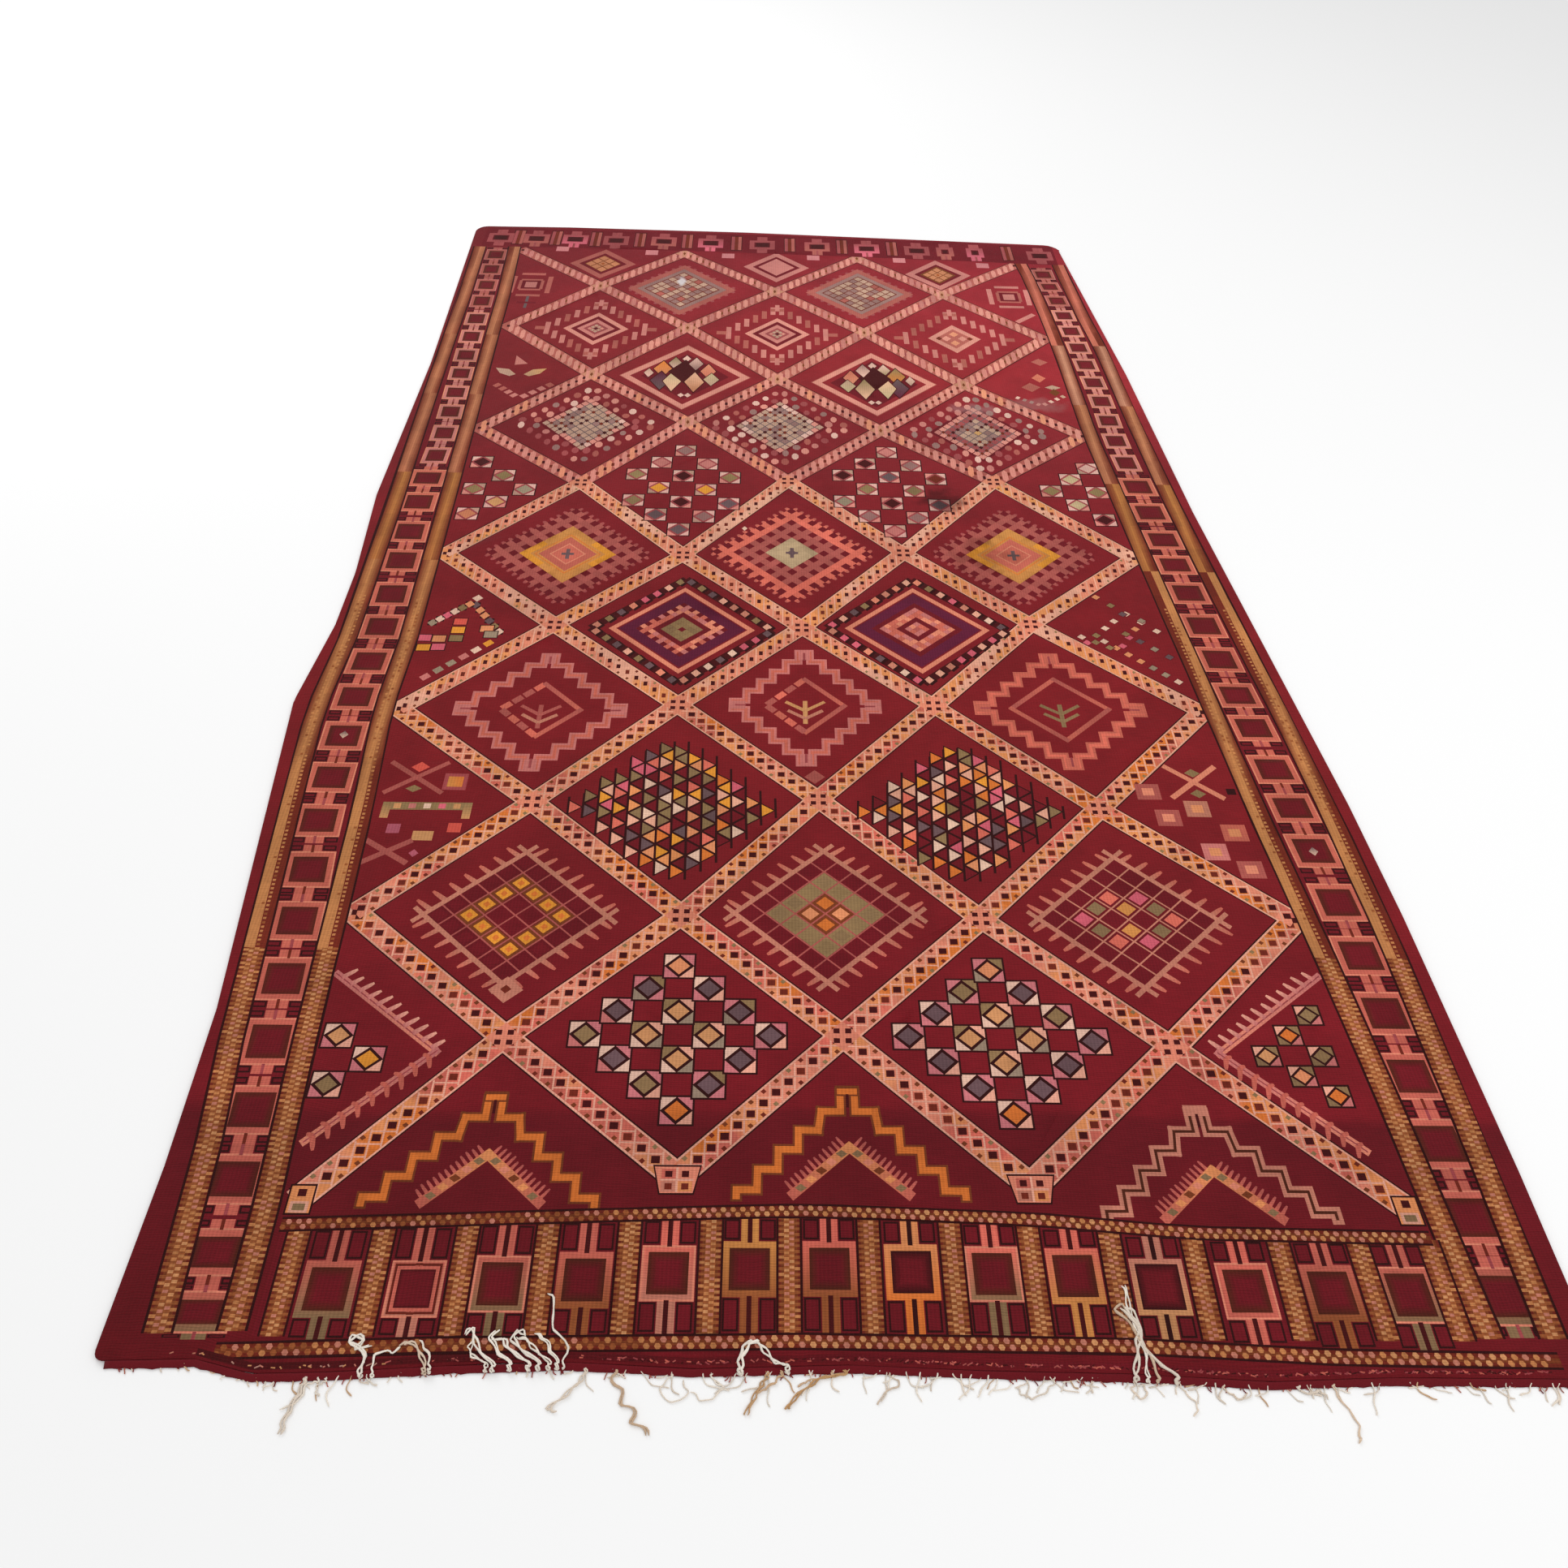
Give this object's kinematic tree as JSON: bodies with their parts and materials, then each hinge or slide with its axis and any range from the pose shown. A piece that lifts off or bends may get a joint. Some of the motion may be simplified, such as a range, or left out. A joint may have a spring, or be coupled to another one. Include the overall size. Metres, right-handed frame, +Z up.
{
  "type": "moroccan berber rug",
  "caption": "Long flat-woven Berber rug with a diamond lattice field, woven borders and a worn warp fringe along one end, lying flat.",
  "frame": {"origin": "middle of the rug's footprint, fringe included, on the floor", "axes": "+Y along the rug's length from the fringed end to the far end, +X across its width, +Z up out of the floor"},
  "size_m": [1.901, 3.2672, 0.0084],
  "materials": {
    "woven_wool": "matt flat-woven wool, burgundy ground with many-coloured brocading",
    "warp_yarn": "matt undyed wool yarn, cream to tan"
  },
  "bodies": {
    "root": {"rug": "woven_wool", "fringe": "warp_yarn"}
  },
  "joints": []
}
